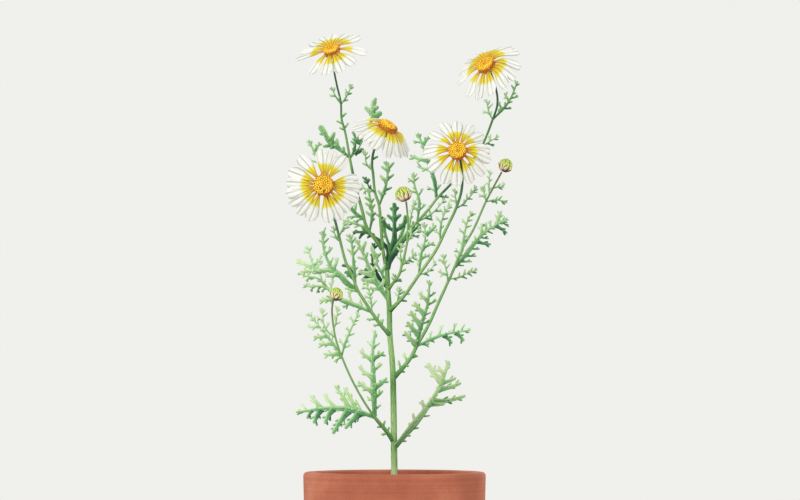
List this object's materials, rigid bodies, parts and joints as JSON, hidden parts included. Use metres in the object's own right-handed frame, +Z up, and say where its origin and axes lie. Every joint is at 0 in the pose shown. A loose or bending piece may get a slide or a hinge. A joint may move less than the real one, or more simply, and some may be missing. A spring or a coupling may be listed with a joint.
{
  "type": "potted garland chrysanthemum",
  "caption": "Potted garland chrysanthemum: an upright branching herb with fern-like leaves, white daisy heads with yellow centres and round buds, in a plain terracotta pot.",
  "frame": {"origin": "centre of the pot's flat foot, on the surface it stands on", "axes": "+Z up along the stem; the plant's front, as drawn in the picture, faces -Y and its right side is +X"},
  "size_m": [0.1853, 0.146, 0.4818],
  "materials": {
    "terracotta": "matt unglazed clay",
    "soil": "loose crumbly potting soil",
    "stem_green": "smooth, faintly ribbed green stem",
    "leaf_green": "satin fleshy leaf",
    "petal_white": "matt white petal with a yellow base",
    "disc_yellow": "matt tubular florets",
    "bud_green": "satin overlapping bracts"
  },
  "bodies": {
    "root": {"pot": "terracotta", "soil": "soil", "stem": "stem_green", "stalk_leftBud": "leaf_green", "stalk_rightBud": "leaf_green", "stalk_leftHead": "leaf_green", "stalk_rightHead": "leaf_green", "stalk_middleBud": "leaf_green", "stalk_sideHead": "leaf_green", "stalk_highHead": "leaf_green", "stalk_topHead": "leaf_green", "petals_left": "petal_white", "disc_left": "disc_yellow", "petals_right": "petal_white", "disc_right": "disc_yellow", "petals_top": "petal_white", "disc_top": "disc_yellow", "petals_high": "petal_white", "disc_high": "disc_yellow", "petals_side": "petal_white", "disc_side": "disc_yellow", "bud_right": "bud_green", "bud_middle": "bud_green", "bud_left": "bud_green"}
  },
  "joints": []
}
